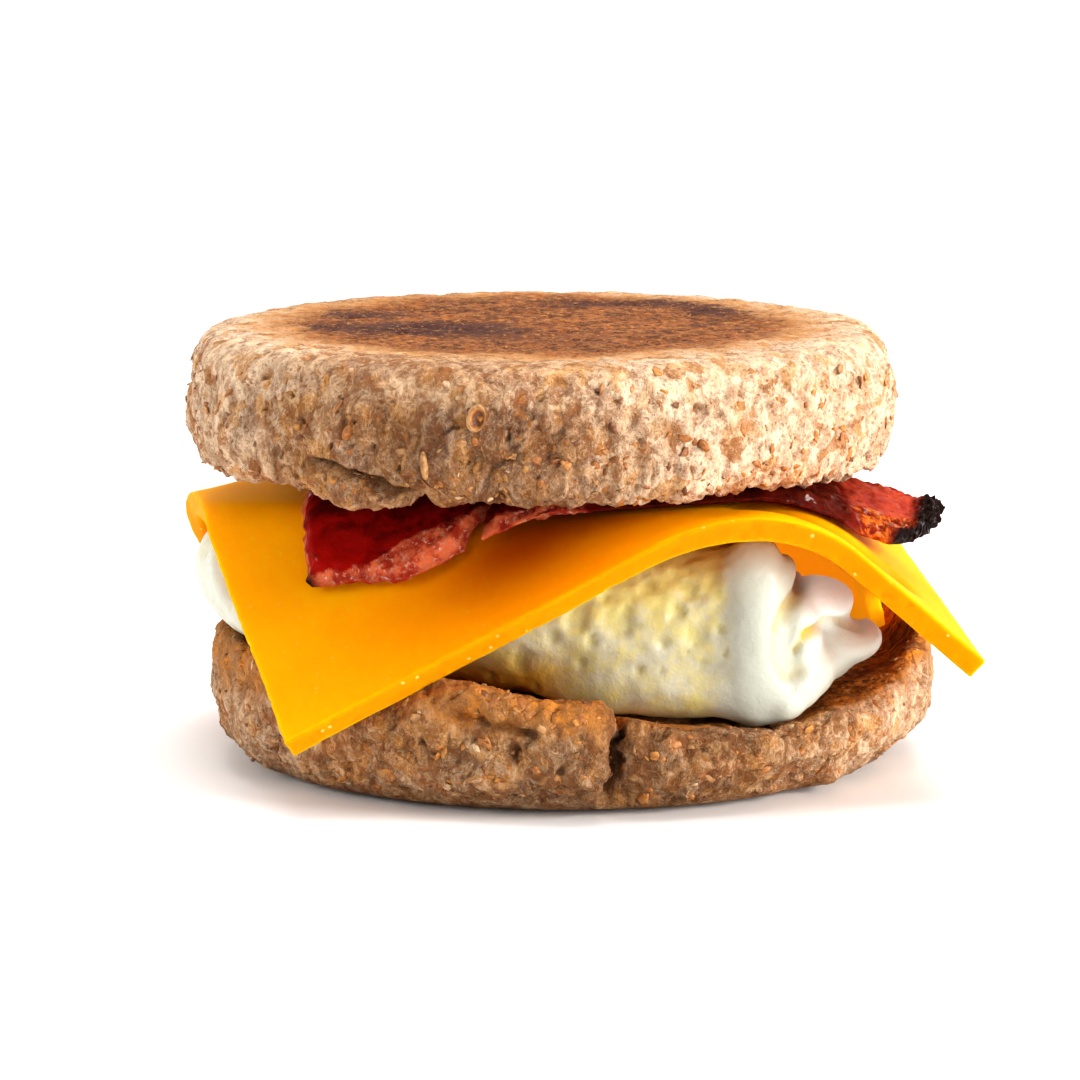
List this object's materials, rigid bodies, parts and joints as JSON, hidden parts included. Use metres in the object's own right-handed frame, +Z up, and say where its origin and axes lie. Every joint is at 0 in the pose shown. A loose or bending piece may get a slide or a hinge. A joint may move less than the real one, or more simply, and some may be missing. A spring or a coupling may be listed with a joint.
{
  "type": "breakfast sandwich",
  "caption": "Breakfast sandwich: a split toasted wholemeal muffin with folded egg white, draped cheese slice and bacon, standing on its flat base.",
  "frame": {"origin": "middle of the flat base of the bottom muffin half", "axes": "+Z up through the layers, -Y to the front where the folded egg and the hanging corner of the cheese show"},
  "size_m": [0.1034, 0.1068, 0.0563],
  "materials": {
    "muffin_bottom": "matt, crumbly wholemeal crust",
    "muffin_top": "matt, crumbly wholemeal crust, toasted on top",
    "egg": "moist satin, off-white",
    "cheese": "smooth satin, orange-yellow",
    "bacon": "glossy, cured red with paler fat and charred rim"
  },
  "bodies": {
    "root": {"muffin_bottom": "muffin_bottom", "egg": "egg", "cheese_slice": "cheese", "cheese_back": "cheese", "bacon_left": "bacon", "bacon_right": "bacon", "muffin_top": "muffin_top"}
  },
  "joints": []
}
